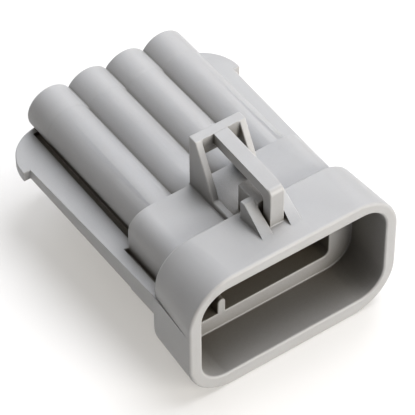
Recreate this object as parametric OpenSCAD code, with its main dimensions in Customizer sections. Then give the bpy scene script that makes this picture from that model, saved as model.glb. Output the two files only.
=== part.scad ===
// Male (shroud) half of a sealed wire-to-wire connector housing, moulded in one piece.
// Millimetres. The origin is the centre of the mating cavity's mouth: +Y runs to the wire end,
// +Z is the latch side and X is across the width. The mating half arrives along +Y.

/* [Contacts] */
// Number of wire columns
columns = 4; // [2:1:6]
// Centre distance between neighbouring wires, across and up
pitch = 6; // [5.7:0.1:6.5]
// Height of each wire axis above its blade axis
wire_rise = 1.45; // [1.3:0.05:1.6]
// Width of a terminal passage
passage_w = 2; // [1.6:0.1:2.2]
// Height of a terminal passage
passage_h = 2.6; // [2.4:0.1:2.8]
// Distance from a blade axis down to the floor of its passage
passage_floor = 0.85; // [0.6:0.05:0.85]

/* [Wire tubes] */
// Diameter of the bore that a wire seal fits
seal_bore_d = 5.2; // [4.6:0.1:5.4]
// Depth of the seal bore, with its lead-in
seal_bore_depth = 19; // [12:0.5:22]
// Wall of a wire tube
tube_wall = 0.8; // [0.6:0.05:1]
// Length of a wire tube behind the neck
tube_len = 25.5; // [22:0.5:35]
// Length of the thicker collar at a tube's end
collar_len = 4.6; // [2:0.1:8]
// How far the collar stands out from the tube
collar_step = 0.1; // [0.05:0.05:0.2]
// Width of the cone that leads a seal into its bore
bore_lead = 0.35; // [0.2:0.05:0.5]

/* [Shroud] */
// Length of the shroud, from the mating face back
shroud_len = 8.93; // [8:0.1:14]
// Depth of the mating cavity, down to its ledge
cavity_depth = 7; // [5:0.1:7.5]
// Corner radius of the mating cavity
cavity_corner_r = 4; // [2:0.1:5]
// Width of the ledge beside the terminal pocket
ledge_side = 3.7; // [3:0.1:5]
// Width of the ledge above and below the terminal pocket
ledge_top = 2.57; // [2.2:0.01:4]
// Side wall at the mouth
side_wall = 1.9; // [1.4:0.1:2.4]
// Top wall at the mouth
top_wall = 1.95; // [1.6:0.05:2.6]
// Bottom wall at the mouth
bottom_wall = 2.5; // [1.8:0.1:3]
// Outer corner radius at the mouth
mouth_corner_r = 6.8; // [6:0.1:7.5]
// How far each side flares out from the rear end to the mouth
side_flare = 0.75; // [0.3:0.05:1]
// How far the top flares out from the rear end to the mouth
top_flare = 0.55; // [0.2:0.05:0.9]
// How far the bottom flares out from the rear end to the mouth
bottom_flare = 1.1; // [0.5:0.05:1.4]
// How far the lower sides stand proud at the rear end, to meet the rails
side_band = 0.3; // [0.1:0.05:0.5]
// Rounding of the rim
rim_round = 0.45; // [0.2:0.05:0.6]
// Rounding of the shroud's rear edge
rear_round = 0.35; // [0.2:0.05:0.6]
// Width of the chamfer that leads the mating half in
cavity_lead = 0.15; // [0.1:0.05:0.6]

/* [Terminal pocket] */
// Distance from the outer blade axes to the side of the pocket
pocket_side = 1.7; // [1.4:0.1:2.2]
// Distance from a blade axis to the top or bottom of the pocket
pocket_top = 2.43; // [2:0.01:2.6]
// Depth of the pocket behind the ledge
pocket_depth = 7.5; // [5:0.1:9]
// Corner radius of the pocket
pocket_corner_r = 0.9; // [0.4:0.1:1.5]
// Width of the key rib on the pocket floor
key_w = 1.2; // [0.8:0.1:1.6]
// Height of the key rib
key_h = 2.4; // [1.5:0.1:2.6]
// Distance from the middle of the housing to the key rib
key_offset = 6.5; // [6:0.1:7]

/* [Neck] */
// Length of the neck behind the shroud
neck_len = 8.57; // [8:0.1:14]
// Distance from the outer wire axes to the side of the neck
neck_side = 4.7; // [4.4:0.05:5.2]
// Corner radius of the neck
neck_corner_r = 2.9; // [1:0.1:3.2]

/* [Side rails] */
// How far a rail reaches past the neck at its front
rail_reach = 2; // [1.5:0.1:4]
// How much wider each rail is at its hook than at its front
rail_taper = 0.75; // [0:0.05:1]
// Thickness of a rail at its rear end
rail_t = 1.25; // [1.2:0.05:1.8]
// How much thicker a rail is at its front end
rail_wedge = 2; // [0:0.1:2.5]
// How far the hook stands out from the rail
hook_out = 1.05; // [0.5:0.05:1.5]
// Radius of the rails' rear corners
rail_corner_r = 6.2; // [3:0.1:6.4]
// Distance from the tubes' rear end to the front face of the hook
hook_back = 6.6; // [6.6:0.1:9]
// Gap between the rails' rear edge and the tubes' rear end
rail_end_gap = 0.2; // [0:0.05:0.2]
// Width of the groove between a rail and the neck
groove_w = 0.6; // [0.3:0.05:0.8]
// Width of the groove between a rail and its tube
tube_groove_w = 1.1; // [0.8:0.05:1.3]
// How far the groove at a tube reaches past the tube's side
tube_groove_out = 0.25; // [0.1:0.05:0.5]
// Distance from the rails' rear edge to the end of the groove
groove_end = 1; // [0.6:0.1:2]
// Depth of the grooves
groove_d = 0.85; // [0.3:0.05:0.9]

/* [Lock ramp] */
// Width of the lock ramp
ramp_w = 6; // [5:0.1:7]
// Height of the ramp above the shroud's mouth
ramp_rise = 2.45; // [1.8:0.05:2.8]
// Distance from the mating face to the foot of the ramp
ramp_front = 2.85; // [2:0.05:3.5]
// Distance from the shroud's rear end to the catching face of the ramp
ramp_back = 0.93; // [0.5:0.05:1.2]
// Length of the ramp's flat top
ramp_flat = 0.8; // [0.4:0.1:1.2]
// Width of the slot in the ramp that the guard's leg stands in
ramp_slot_w = 2.8; // [2.6:0.1:3.6]
// Width of the web behind the ramp
web_w = 3; // [2.4:0.1:3.6]
// Distance that the web runs back over the neck
web_run = 1.6; // [1:0.1:3]

/* [Latch guard] */
// Width over the two gussets
guard_w = 7.8; // [7:0.1:9]
// Height of the guard above the shroud's mouth
guard_rise = 6.4; // [5:0.05:7]
// Length of the crossbar along the connector
bar_len = 1.45; // [1.2:0.05:2]
// Depth of the crossbar
bar_h = 2.85; // [2:0.05:3.5]
// Thickness of a gusset
gusset_t = 1; // [0.8:0.1:1.3]
// Length of a gusset's foot on the neck
gusset_run = 5.3; // [4.5:0.1:6]
// Height of the low ribs that run forward from the gussets
low_rib_h = 0.9; // [0.5:0.1:1.4]
// How far the crossbar's rear face stands behind the neck
guard_overhang = 0.3; // [0:0.1:0.5]
// Width of the strap
strap_w = 2.1; // [1.6:0.1:2.3]
// Thickness of the strap
strap_t = 1.75; // [1.4:0.05:2.2]
// Drop of the strap from the crossbar to its front corner
strap_drop = 0.5; // [0.2:0.05:0.9]
// Distance from the mating face to the front of the leg
leg_front = 4.2; // [3.6:0.05:4.6]
// Thickness of the leg
leg_t = 1.6; // [1.2:0.05:1.8]
// Outer radius of the corner between strap and leg
strap_corner_r = 0.9; // [0.5:0.1:1.3]
// Inner radius of the corner between strap and leg
strap_fillet = 0.7; // [0.3:0.1:1]

/* [Hidden] */
$fn = 64;
HULL_FN = 48;
CUT = 0.5;      // how far a cut runs past the face it opens
BURY = 0.6;     // how far a rib or foot is buried in what carries it
SLICE = 0.01;   // thickness of a section that a hull joins
ARC_STEP = 30;  // degrees between the sections of a rounded rim

// Places along Y
pocket_end = cavity_depth + pocket_depth;
neck_end = shroud_len + neck_len;
tube_end = neck_end + tube_len;
bore_start = tube_end - seal_bore_depth;
hook_y = tube_end - hook_back;
rail_end = tube_end - rail_end_gap;
groove_stop = rail_end - groove_end;

// Places along X and Z
half_span = (columns - 1) * pitch / 2;
tube_r = seal_bore_d / 2 + tube_wall;
rows_z = [-pitch / 2 + wire_rise, pitch / 2 + wire_rise];
neck_top = rows_z[1] + tube_r;
neck_half_w = half_span + neck_side;
pocket_half_w = half_span + pocket_side;
pocket_half_h = pitch / 2 + pocket_top;
cavity_half_w = pocket_half_w + ledge_side;
cavity_half_h = pocket_half_h + ledge_top;
mouth_half_w = cavity_half_w + side_wall;
mouth_top = cavity_half_h + top_wall;
mouth_bottom = cavity_half_h + bottom_wall;
rear_half_w = mouth_half_w - side_flare;
rear_top = mouth_top - top_flare;
rear_bottom = mouth_bottom - bottom_flare;
rear_corner_r = mouth_corner_r - bottom_flare;
rail_top = wire_rise + rail_t / 2;
rail_front_w = neck_half_w + rail_reach;
rail_hook_w = rail_front_w + rail_taper;
hook_tip_w = rail_hook_w + hook_out;
guard_back = neck_end + guard_overhang;
guard_top = mouth_top + guard_rise;
bar_front = guard_back - bar_len;
leg_back = leg_front + leg_t;

// A rectangle about the origin with round corners, of true arcs
module round_rect(half_w, half_h, r) {
    square([2 * half_w - 2 * r, 2 * half_h], center = true);
    square([2 * half_w, 2 * half_h - 2 * r], center = true);
    for (sx = [-1, 1], sz = [-1, 1])
        translate([sx * (half_w - r), sz * (half_h - r)]) circle(r);
}

// A section in X and Z, drawn from y0 back to y1
module along_y(y0, y1) {
    translate([0, y1, 0]) rotate([90, 0, 0]) linear_extrude(y1 - y0) children();
}

// A side profile in Y and Z, drawn w wide about x
module across_x(w, x = 0) {
    translate([x - w / 2, 0, 0]) rotate([90, 0, 90]) linear_extrude(w) children();
}

// One thin section with round corners, set in from its edge by an amount
module skin_section(y, half_w, top, bottom, r, inset = 0) {
    along_y(y, y + SLICE)
        for (sx = [-1, 1], z = [top - r, r - bottom])
            translate([sx * (half_w - r), z]) circle(r - inset, $fn = HULL_FN);
}

// The shroud's outside: a flared body with a rounded rim and rear edge
module flared_body(rear_w) {
    hull() {
        for (t = [0 : ARC_STEP : 90])
            skin_section(rim_round * (1 - cos(t)), mouth_half_w, mouth_top, mouth_bottom,
                mouth_corner_r, rim_round * (1 - sin(t)));
        for (t = [0 : ARC_STEP : 90])
            skin_section(shroud_len - SLICE - rear_round * (1 - cos(t)), rear_w,
                rear_top, rear_bottom, rear_corner_r, rear_round * (1 - sin(t)));
    }
}

// The upper half is narrower at its rear end, so the lower sides stand proud as a band
module shroud() {
    flared_body(rear_half_w);
    intersection() {
        flared_body(rear_half_w + side_band);
        translate([-mouth_half_w - CUT, -CUT, -mouth_bottom - CUT])
            cube([2 * (mouth_half_w + CUT), shroud_len + 2 * CUT,
                mouth_bottom + CUT + rail_top]);
    }
}

module mating_cavity() {
    along_y(-CUT, cavity_depth)
        round_rect(cavity_half_w, cavity_half_h, cavity_corner_r);
    hull() {
        skin_section(-SLICE, cavity_half_w + cavity_lead, cavity_half_h + cavity_lead,
            cavity_half_h + cavity_lead, cavity_corner_r + cavity_lead);
        skin_section(2 * cavity_lead, cavity_half_w, cavity_half_h, cavity_half_h,
            cavity_corner_r);
    }
}

module terminal_pocket() {
    along_y(cavity_depth - CUT, pocket_end)
        round_rect(pocket_half_w, pocket_half_h, pocket_corner_r);
}

// A rib with a round top on the pocket floor, level with the ledge at its front
module key_rib() {
    along_y(cavity_depth, pocket_end + BURY)
        translate([-key_offset, -pocket_half_h]) {
            translate([-key_w / 2, -BURY]) square([key_w, key_h - key_w / 2 + BURY]);
            translate([0, key_h - key_w / 2]) circle(key_w / 2);
        }
}

module neck() {
    along_y(shroud_len - BURY, neck_end)
        round_rect(neck_half_w, neck_top, neck_corner_r);
}

// Everything that repeats at each wire, placed on its axis
module at_each_wire() {
    for (i = [0 : columns - 1], z = rows_z)
        translate([i * pitch - half_span, 0, z]) children();
}

// A round body along Y from y0 to y1
module rod(r, y0, y1, r_back = 0) {
    translate([0, y0, 0]) rotate([-90, 0, 0])
        cylinder(h = y1 - y0, r1 = r, r2 = r_back > 0 ? r_back : r);
}

module wire_tubes() {
    collar_start = tube_end - collar_len;
    at_each_wire() {
        rod(tube_r, neck_end - BURY, tube_end - CUT);
        rod(tube_r, collar_start - BURY, collar_start, tube_r + collar_step);
        rod(tube_r + collar_step, collar_start, tube_end);
    }
}

module seal_bores() {
    lead_len = 2 * bore_lead;
    at_each_wire() {
        rod(seal_bore_d / 2, bore_start, tube_end);
        rod(seal_bore_d / 2, tube_end - lead_len, tube_end + SLICE, seal_bore_d / 2 + bore_lead);
    }
}

// A terminal goes on from its seal bore through the bulkhead, with its blade near the floor
module terminal_passages() {
    at_each_wire()
        translate([-passage_w / 2, pocket_end - CUT, -wire_rise - passage_floor])
            cube([passage_w, bore_start - pocket_end + 2 * CUT, passage_h]);
}

// Both rails and the plate between them, seen from above
module rail_outline() {
    corner_x = hook_tip_w - rail_corner_r;
    polygon([
        [-rail_front_w, shroud_len - BURY], [rail_front_w, shroud_len - BURY],
        [rail_hook_w, hook_y + CUT], [-rail_hook_w, hook_y + CUT]
    ]);
    translate([-corner_x, hook_y]) square([2 * corner_x, rail_end - hook_y]);
    intersection() {
        for (s = [-1, 1])
            translate([s * corner_x, rail_end - rail_corner_r]) circle(rail_corner_r);
        translate([-hook_tip_w, hook_y]) square([2 * hook_tip_w, rail_end - hook_y]);
    }
}

module side_rails() {
    rail_bottom = rail_top - rail_t;
    intersection() {
        translate([0, 0, -mouth_bottom])
            linear_extrude(mouth_bottom + rail_top) rail_outline();
        across_x(4 * rail_hook_w)
            polygon([
                [0, rail_top], [0, rail_bottom - rail_wedge],
                [shroud_len, rail_bottom - rail_wedge], [rail_end, rail_bottom],
                [rail_end, rail_top]
            ]);
    }
}

// A groove in a rail's top from y0 to y1, out to x on both sides
module groove_pair(x, w, y0, y1) {
    for (s = [-1, 1])
        translate([s * (x - w / 2) - w / 2, y0, rail_top - groove_d])
            cube([w, y1 - y0, groove_d + CUT]);
}

// The grooves part the rails from the neck and from the outer tubes
module rail_grooves() {
    groove_pair(neck_half_w + groove_w, groove_w, shroud_len - SLICE, neck_end + SLICE);
    groove_pair(half_span + tube_r + tube_groove_out, tube_groove_w, neck_end, groove_stop);
}

// A wedge that the mating half's latch rides up, with a slot for the guard's leg
module lock_ramp() {
    ramp_top = mouth_top + ramp_rise;
    ramp_rear = shroud_len - ramp_back;
    foot = rear_top - BURY;
    toe_top = mouth_top - top_flare * ramp_front / shroud_len;
    difference() {
        across_x(ramp_w)
            polygon([
                [ramp_front - BURY, foot], [ramp_front, toe_top],
                [ramp_rear - ramp_flat, ramp_top], [ramp_rear, ramp_top], [ramp_rear, foot]
            ]);
        translate([-ramp_slot_w / 2, 0, foot])
            cube([ramp_slot_w, leg_back + BURY, ramp_top]);
    }
    across_x(web_w)
        polygon([
            [leg_back + BURY, foot], [leg_back + BURY, ramp_top],
            [shroud_len + web_run, ramp_top], [shroud_len + web_run, neck_top - BURY],
            [ramp_rear, neck_top - BURY]
        ]);
}

// Side profile of the strap and the leg that it turns down into
module strap_profile() {
    front_top = guard_top - strap_drop;
    corner_y = leg_front + strap_corner_r;
    inner_y = leg_back + strap_fillet;
    inner_z = front_top - strap_t;
    polygon([
        [corner_y, front_top], [guard_back - bar_len / 2, guard_top],
        [guard_back - bar_len / 2, guard_top - strap_t], [leg_back, inner_z],
        [leg_back, rear_top], [leg_front, rear_top],
        [leg_front, front_top - strap_corner_r]
    ]);
    translate([corner_y, front_top - strap_corner_r]) circle(strap_corner_r);
    difference() {
        translate([leg_back - SLICE, inner_z - strap_fillet])
            square([strap_fillet, strap_fillet + SLICE]);
        translate([inner_y, inner_z - strap_fillet]) circle(strap_fillet);
    }
}

// A triangular gusset from the neck up to the crossbar, with a low rib in front of it
module gusset_profile() {
    toe = guard_back - gusset_run;
    rib_top = neck_top + low_rib_h;
    polygon([
        [guard_back, neck_top - BURY], [guard_back, guard_top],
        [bar_front, guard_top], [toe, rib_top],
        [shroud_len - BURY, rib_top], [shroud_len - BURY, neck_top - BURY]
    ]);
}

module latch_guard() {
    across_x(strap_w) strap_profile();
    across_x(guard_w)
        translate([bar_front, guard_top - bar_h]) square([bar_len, bar_h]);
    for (s = [-1, 1])
        across_x(gusset_t, s * (guard_w - gusset_t) / 2) gusset_profile();
}

module housing() {
    color([0.78, 0.78, 0.78]) {
        difference() {
            union() {
                shroud();
                neck();
                wire_tubes();
                side_rails();
                lock_ramp();
                latch_guard();
            }
            mating_cavity();
            terminal_pocket();
            terminal_passages();
            seal_bores();
            rail_grooves();
        }
        key_rib();
    }
}

housing();
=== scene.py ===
"""Looks of the sealed connector housing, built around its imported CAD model.

The housing shows as a copy of the CAD solid with its sharp edges rounded as moulded plastic's
are, in one procedural material. Metres throughout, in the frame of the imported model.
"""
from math import ceil, cos, hypot, radians, sin

import bmesh
import bpy
from mathutils import Matrix, Vector
from mathutils.bvhtree import BVHTree
from mathutils.kdtree import KDTree


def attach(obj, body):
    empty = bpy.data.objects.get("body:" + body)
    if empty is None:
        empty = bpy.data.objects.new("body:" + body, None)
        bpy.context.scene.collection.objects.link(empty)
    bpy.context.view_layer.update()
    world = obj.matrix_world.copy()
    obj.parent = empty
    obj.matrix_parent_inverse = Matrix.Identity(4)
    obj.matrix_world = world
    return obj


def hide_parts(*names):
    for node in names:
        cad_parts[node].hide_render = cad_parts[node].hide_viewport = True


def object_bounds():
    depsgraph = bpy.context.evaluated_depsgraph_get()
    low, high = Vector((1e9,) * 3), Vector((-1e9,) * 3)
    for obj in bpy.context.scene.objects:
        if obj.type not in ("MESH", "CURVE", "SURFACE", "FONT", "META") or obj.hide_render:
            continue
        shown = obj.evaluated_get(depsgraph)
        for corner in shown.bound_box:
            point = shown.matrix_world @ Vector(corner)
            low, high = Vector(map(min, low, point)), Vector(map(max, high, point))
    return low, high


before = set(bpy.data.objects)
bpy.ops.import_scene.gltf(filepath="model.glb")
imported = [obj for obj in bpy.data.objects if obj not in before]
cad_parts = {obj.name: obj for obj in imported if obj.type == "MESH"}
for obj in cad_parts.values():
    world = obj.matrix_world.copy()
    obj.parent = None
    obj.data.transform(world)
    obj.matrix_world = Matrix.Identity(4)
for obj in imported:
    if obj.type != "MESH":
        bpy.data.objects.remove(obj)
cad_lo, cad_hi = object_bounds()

MM = 0.001

# The camera circles a target on the object's mid-plane, above and to the left of its mouth.
SENSOR_MM = 36.0
LENS_MM = 233.13
TARGET = Vector((0.0, 20.0, 8.0)) * MM
AZIMUTH = radians(-35.01)
ELEVATION = radians(46.83)
ROLL = radians(0.346)
DISTANCE = 346.13 * MM
PAN_RIGHT = 0.386 * MM
PAN_UP = -6.185 * MM

FLOOR_HALF = 1.5      # half the width of the square floor
FLOOR_GLOW = 0.35     # its own light, as of a light table, which keeps the shadows pale

# How the shown copy of the solid gets its rounded edges.
WELD = 0.06 * MM      # vertices closer than this become one
FLAT_ANGLE = radians(2)     # faces that meet flatter than this become one
SHARP_ANGLE = radians(38)   # edges sharper than this are rounded
EDGE_ROUND = 0.15 * MM
EDGE_SEGMENTS = 2
STRAY = 0.75          # of EDGE_ROUND, how far a rounded edge may leave the solid's surface
SLACK = 0.001 * MM    # how far it may pass the solid's box
CROWD_REACH = 0.25 * MM     # an edge this close to a trouble spot is eased
LEAST_WEIGHT = 0.3    # an edge with less rounding than this stays sharp when it is eased
EASING_ROUNDS = 8

# The soft boxes, which all face the object's middle.
BOX_SIZE = 0.45
BOX_DISTANCE = 0.6

# The wires' places, for the thin rims between their bores.
WIRE_PITCH = 6.0 * MM
LOWER_ROW_Z = -1.55 * MM
WIRES_X = [(column - 1.5) * WIRE_PITCH for column in range(4)]
WIRES_Z = [LOWER_ROW_Z + row * WIRE_PITCH for row in range(2)]
BORE_MOUTH_Y = 42.1 * MM
BORE_MOUTH_R = 3.05 * MM

# The plastic's patterns, as noise scales per metre.
CLOUD_SCALE = 90.0
STREAK_SCALE = (900.0, 160.0, 900.0)    # long along Y, the way the plastic flowed
SPECK_SCALE = 3500.0
GRAIN_SCALE = 9000.0
CLOUD_HEIGHT = 0.2 * MM
GRAIN_HEIGHT = 0.02 * MM

# How far the painted shade looks for the housing's own walls when it darkens deep hollows,
# and how far light spreads inside the plastic.
SHADE_REACH = 30 * MM
LIGHT_SPREAD = 0.8 * MM


# ---------------------------------------------------------------- node helpers

class Tree:
    """A short way to add and link shader nodes."""

    def __init__(self, name):
        self.material = bpy.data.materials.new(name)
        self.material.use_nodes = True
        self.nodes = self.material.node_tree.nodes
        self.links = self.material.node_tree.links
        self.nodes.clear()

    def add(self, kind, inputs=None, **settings):
        node = self.nodes.new(kind)
        for key, value in settings.items():
            setattr(node, key, value)
        for key, value in (inputs or {}).items():
            socket = node.inputs[key]
            if isinstance(value, bpy.types.NodeSocket):
                self.links.new(value, socket)
            else:
                socket.default_value = value
        return node

    def noise(self, where, scale, detail=3.0, rough=0.5):
        node = self.add("ShaderNodeTexNoise",
                        {"Vector": where, "Scale": scale, "Detail": detail, "Roughness": rough})
        return node.outputs["Fac"]

    def ramp(self, value, low, high, to_low, to_high):
        node = self.add("ShaderNodeMapRange", {
            "Value": value, "From Min": low, "From Max": high,
            "To Min": to_low, "To Max": to_high})
        return node.outputs["Result"]

    def mix_colour(self, factor, first, second):
        node = self.add("ShaderNodeMix", data_type="RGBA")
        for socket, value in ((node.inputs[0], factor), (node.inputs[6], first),
                              (node.inputs[7], second)):
            if isinstance(value, bpy.types.NodeSocket):
                self.links.new(value, socket)
            else:
                socket.default_value = value
        return node.outputs[2]

    def maths(self, operation, first, second):
        node = self.add("ShaderNodeMath", {0: first, 1: second}, operation=operation)
        return node.outputs[0]


def grey(value, warmth=0.0):
    """A grey as linear RGBA, with warmth above 0 towards yellow and below 0 towards blue."""
    return (value * (1 + warmth), value, value * (1 - 1.6 * warmth), 1.0)


# ---------------------------------------------------------------- materials

CLOUD_DARK = grey(0.290)
CLOUD_LIGHT = grey(0.308, -0.004)
STREAK = grey(0.325, -0.004)
SPECK = grey(0.245, 0.01)
# painted highlight: the lighter grey that sharp convex edges are lifted towards
PAINTED_EDGE_HIGHLIGHT = grey(0.37)
# painted shade: the warm near-black that deep hollows are darkened towards
PAINTED_HOLLOW_SHADE = grey(0.04, 0.30)


def moulded_plastic(name):
    """Light grey glass-filled nylon as moulded: faint flow clouds, a fine spark-eroded grain,
    with painted shade in deep hollows and a painted highlight on sharp edges.
    """
    t = Tree(name)
    place = t.add("ShaderNodeTexCoord").outputs["Object"]
    clouds = t.noise(place, CLOUD_SCALE, 4.0, 0.55)
    flow = t.add("ShaderNodeMapping", {"Vector": place, "Scale": STREAK_SCALE})
    streaks = t.noise(flow.outputs["Vector"], 1.0, 3.0, 0.6)
    grain = t.noise(place, GRAIN_SCALE, 2.0, 0.6)
    speck = t.noise(place, SPECK_SCALE, 2.0, 0.5)

    tone = t.mix_colour(t.ramp(clouds, 0.35, 0.65, 0.0, 1.0), CLOUD_DARK, CLOUD_LIGHT)
    tone = t.mix_colour(t.ramp(streaks, 0.55, 0.75, 0.0, 0.3), tone, STREAK)
    tone = t.mix_colour(t.ramp(speck, 0.30, 0.42, 0.15, 0.0), tone, SPECK)
    # Painted highlight: sharp convex edges are lightened a little, as where light catches them.
    edge_highlight_mask = t.add("ShaderNodeNewGeometry").outputs["Pointiness"]
    tone = t.mix_colour(t.ramp(edge_highlight_mask, 0.51, 0.58, 0.0, 0.3), tone, PAINTED_EDGE_HIGHLIGHT)
    # Painted shade: the less open space a spot sees around itself, the more it is darkened
    # towards a warm near-black.
    painted_shade_openness = t.add("ShaderNodeAmbientOcclusion", {"Distance": SHADE_REACH},
                     samples=12, only_local=True).outputs["AO"]
    tone = t.mix_colour(t.ramp(painted_shade_openness, 0.16, 0.62, 0.93, 0.0), tone, PAINTED_HOLLOW_SHADE)

    rough = t.ramp(clouds, 0.3, 0.7, 0.46, 0.54)
    rough = t.maths("ADD", rough, t.ramp(grain, 0.3, 0.7, -0.03, 0.03))

    waves = t.add("ShaderNodeBump", {"Height": clouds, "Strength": 0.15,
                                     "Distance": CLOUD_HEIGHT})
    fine = t.add("ShaderNodeBump", {"Height": grain, "Strength": 0.2,
                                    "Distance": GRAIN_HEIGHT,
                                    "Normal": waves.outputs["Normal"]})
    shader = t.add("ShaderNodeBsdfPrincipled", {
        "Base Color": tone, "Roughness": rough, "Normal": fine.outputs["Normal"],
        "IOR": 1.53, "Specular IOR Level": 0.5,
        "Subsurface Weight": 0.35, "Subsurface Radius": (1.0, 0.9, 0.8),
        "Subsurface Scale": LIGHT_SPREAD})
    t.add("ShaderNodeOutputMaterial", {"Surface": shader.outputs[0]})
    return t.material


def pale_floor(name):
    """A plain near-white floor that glows a little."""
    t = Tree(name)
    place = t.add("ShaderNodeTexCoord").outputs["Object"]
    tone = t.mix_colour(t.noise(place, 3.0), grey(0.45), grey(0.47))
    shader = t.add("ShaderNodeBsdfPrincipled", {
        "Base Color": tone, "Roughness": 0.9,
        "Emission Color": grey(1.0, 0.03), "Emission Strength": FLOOR_GLOW})
    t.add("ShaderNodeOutputMaterial", {"Surface": shader.outputs[0]})
    return t.material


# ---------------------------------------------------------------- pieces

def clean_solid(node):
    """The node's solid as a bmesh of flat faces, without the sliver edges of its triangles."""
    solid = bmesh.new()
    solid.from_mesh(node.data)
    bmesh.ops.remove_doubles(solid, verts=solid.verts, dist=WELD)
    bmesh.ops.dissolve_limit(solid, angle_limit=FLAT_ANGLE, verts=solid.verts,
                             edges=solid.edges)
    return solid


def in_bore_mouth(vert):
    """True where the thin rims between neighbouring seal bores leave no room for rounding."""
    x, y, z = vert.co
    return y > BORE_MOUTH_Y and any(
        hypot(x - across, z - up) < BORE_MOUTH_R for across in WIRES_X for up in WIRES_Z)


def crowded_spots(piece, surface):
    """Where the rounding strays off the solid, leaves its box or runs into itself."""
    shown = piece.evaluated_get(bpy.context.evaluated_depsgraph_get())
    made = bmesh.new()
    made.from_mesh(shown.to_mesh())
    shown.to_mesh_clear()
    spots = [vert.co.copy() for vert in made.verts
             if surface.find_nearest(vert.co)[3] > STRAY * EDGE_ROUND
             or any(not low - SLACK <= along <= high + SLACK
                    for along, low, high in zip(vert.co, cad_lo, cad_hi))]
    bmesh.ops.triangulate(made, faces=made.faces)
    made.faces.ensure_lookup_table()
    tree = BVHTree.FromBMesh(made)
    for first, second in tree.overlap(tree):
        one, two = made.faces[first], made.faces[second]
        if first < second and not set(one.verts) & set(two.verts):
            spots += [one.calc_center_median(), two.calc_center_median()]
    made.free()
    return spots


def ease_near(spots, edges, layer):
    """Halves the rounding of the edges that pass close to a spot, and drops it when small."""
    near = KDTree(len(spots))
    for index, spot in enumerate(spots):
        near.insert(spot, index)
    near.balance()
    for edge in edges:
        start, end = (vert.co for vert in edge.verts)
        steps = max(1, ceil((end - start).length / CROWD_REACH))
        if any(near.find(start.lerp(end, step / steps))[2] < CROWD_REACH
               for step in range(steps + 1)):
            edge[layer] = edge[layer] / 2 if edge[layer] > LEAST_WEIGHT else 0.0


def rounded_copy(node, name, material):
    """The node's solid again with its sharp edges rounded, standing for the node."""
    solid = clean_solid(node)
    surface = BVHTree.FromBMesh(solid)
    layer = solid.edges.layers.float.new("bevel_weight_edge")
    edges = [edge for edge in solid.edges if edge.calc_face_angle(0) > SHARP_ANGLE
             and not all(in_bore_mouth(vert) for vert in edge.verts)]
    for edge in edges:
        edge[layer] = 1.0

    mesh = bpy.data.meshes.new(name)
    piece = bpy.data.objects.new(name, mesh)
    bpy.context.scene.collection.objects.link(piece)
    bevel = piece.modifiers.new("edges", "BEVEL")
    bevel.width = EDGE_ROUND
    bevel.segments = EDGE_SEGMENTS
    bevel.limit_method = "WEIGHT"
    bevel.use_clamp_overlap = False

    fewest = None
    for _ in range(EASING_ROUNDS):
        solid.to_mesh(mesh)
        mesh.update()
        spots = crowded_spots(piece, surface)
        if fewest is None or len(spots) < fewest:
            fewest = len(spots)
            weights = [edge[layer] for edge in edges]
        if not spots:
            break
        ease_near(spots, edges, layer)
    for edge, weight in zip(edges, weights):
        edge[layer] = weight
    solid.to_mesh(mesh)
    solid.free()

    mesh.shade_smooth()
    mesh.set_sharp_from_angle(angle=SHARP_ANGLE)
    level = piece.modifiers.new("normals", "WEIGHTED_NORMAL")
    level.keep_sharp = True
    mesh.materials.append(material)
    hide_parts("housing")
    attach(piece, "root")


# ---------------------------------------------------------------- stage

def add_floor(z, material):
    """A square floor at the height z, out of the part and only for the picture."""
    mesh = bpy.data.meshes.new("floor")
    corners = [(-1, -1), (1, -1), (1, 1), (-1, 1)]
    mesh.from_pydata([(x * FLOOR_HALF, y * FLOOR_HALF, z) for x, y in corners], [],
                     [(0, 1, 2, 3)])
    mesh.materials.append(material)
    floor = bpy.data.objects.new("floor", mesh)
    bpy.context.scene.collection.objects.link(floor)


def soft_box(name, compass, height, power, colour):
    """A round soft box that faces the object, compass degrees from +X and so high above it."""
    middle = (cad_lo + cad_hi) / 2
    level = cos(radians(height))
    towards = Vector((level * cos(radians(compass)), level * sin(radians(compass)),
                      sin(radians(height))))
    data = bpy.data.lights.new(name, "AREA")
    data.shape = "DISK"
    data.size = BOX_SIZE
    data.energy = power
    data.color = colour
    light = bpy.data.objects.new(name, data)
    light.location = middle + towards * BOX_DISTANCE
    light.rotation_euler = towards.to_track_quat("Z", "Y").to_euler()
    bpy.context.scene.collection.objects.link(light)


def soft_studio():
    """Most light comes from above right and from low in front, with weak fills around it."""
    soft_box("overhead", 0, 70, 4.1, (0.965, 0.97, 1.0))
    soft_box("front", 292, 14, 5.5, (1.0, 0.96, 0.90))
    soft_box("behind", 90, 50, 0.9, (0.80, 0.88, 1.0))
    soft_box("left", 175, 62, 0.8, (1.0, 0.92, 0.82))
    soft_box("side", 45, 30, 1.6, (0.96, 0.96, 1.0))
    bpy.context.scene.view_settings.view_transform = "Standard"


def add_camera():
    """The camera at the photograph's viewing angle."""
    back = Vector((sin(AZIMUTH) * cos(ELEVATION), -cos(AZIMUTH) * cos(ELEVATION),
                   sin(ELEVATION)))
    right = Vector((cos(AZIMUTH), sin(AZIMUTH), 0.0))
    up = back.cross(right)
    side = cos(ROLL) * right - sin(ROLL) * up
    top = sin(ROLL) * right + cos(ROLL) * up
    data = bpy.data.cameras.new("camera")
    data.sensor_width = SENSOR_MM
    data.lens = LENS_MM
    data.clip_start = 0.01
    camera = bpy.data.objects.new("camera", data)
    turn = Matrix((side, top, back)).transposed().to_4x4()
    place = TARGET + right * PAN_RIGHT + up * PAN_UP + back * DISTANCE
    camera.matrix_world = Matrix.Translation(place) @ turn
    bpy.context.scene.collection.objects.link(camera)
    bpy.context.scene.camera = camera


add_camera()
soft_studio()
add_floor(cad_lo.z, pale_floor("floor_white"))
rounded_copy(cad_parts["housing"], "housing_moulded",
             moulded_plastic("plastic_light_grey"))
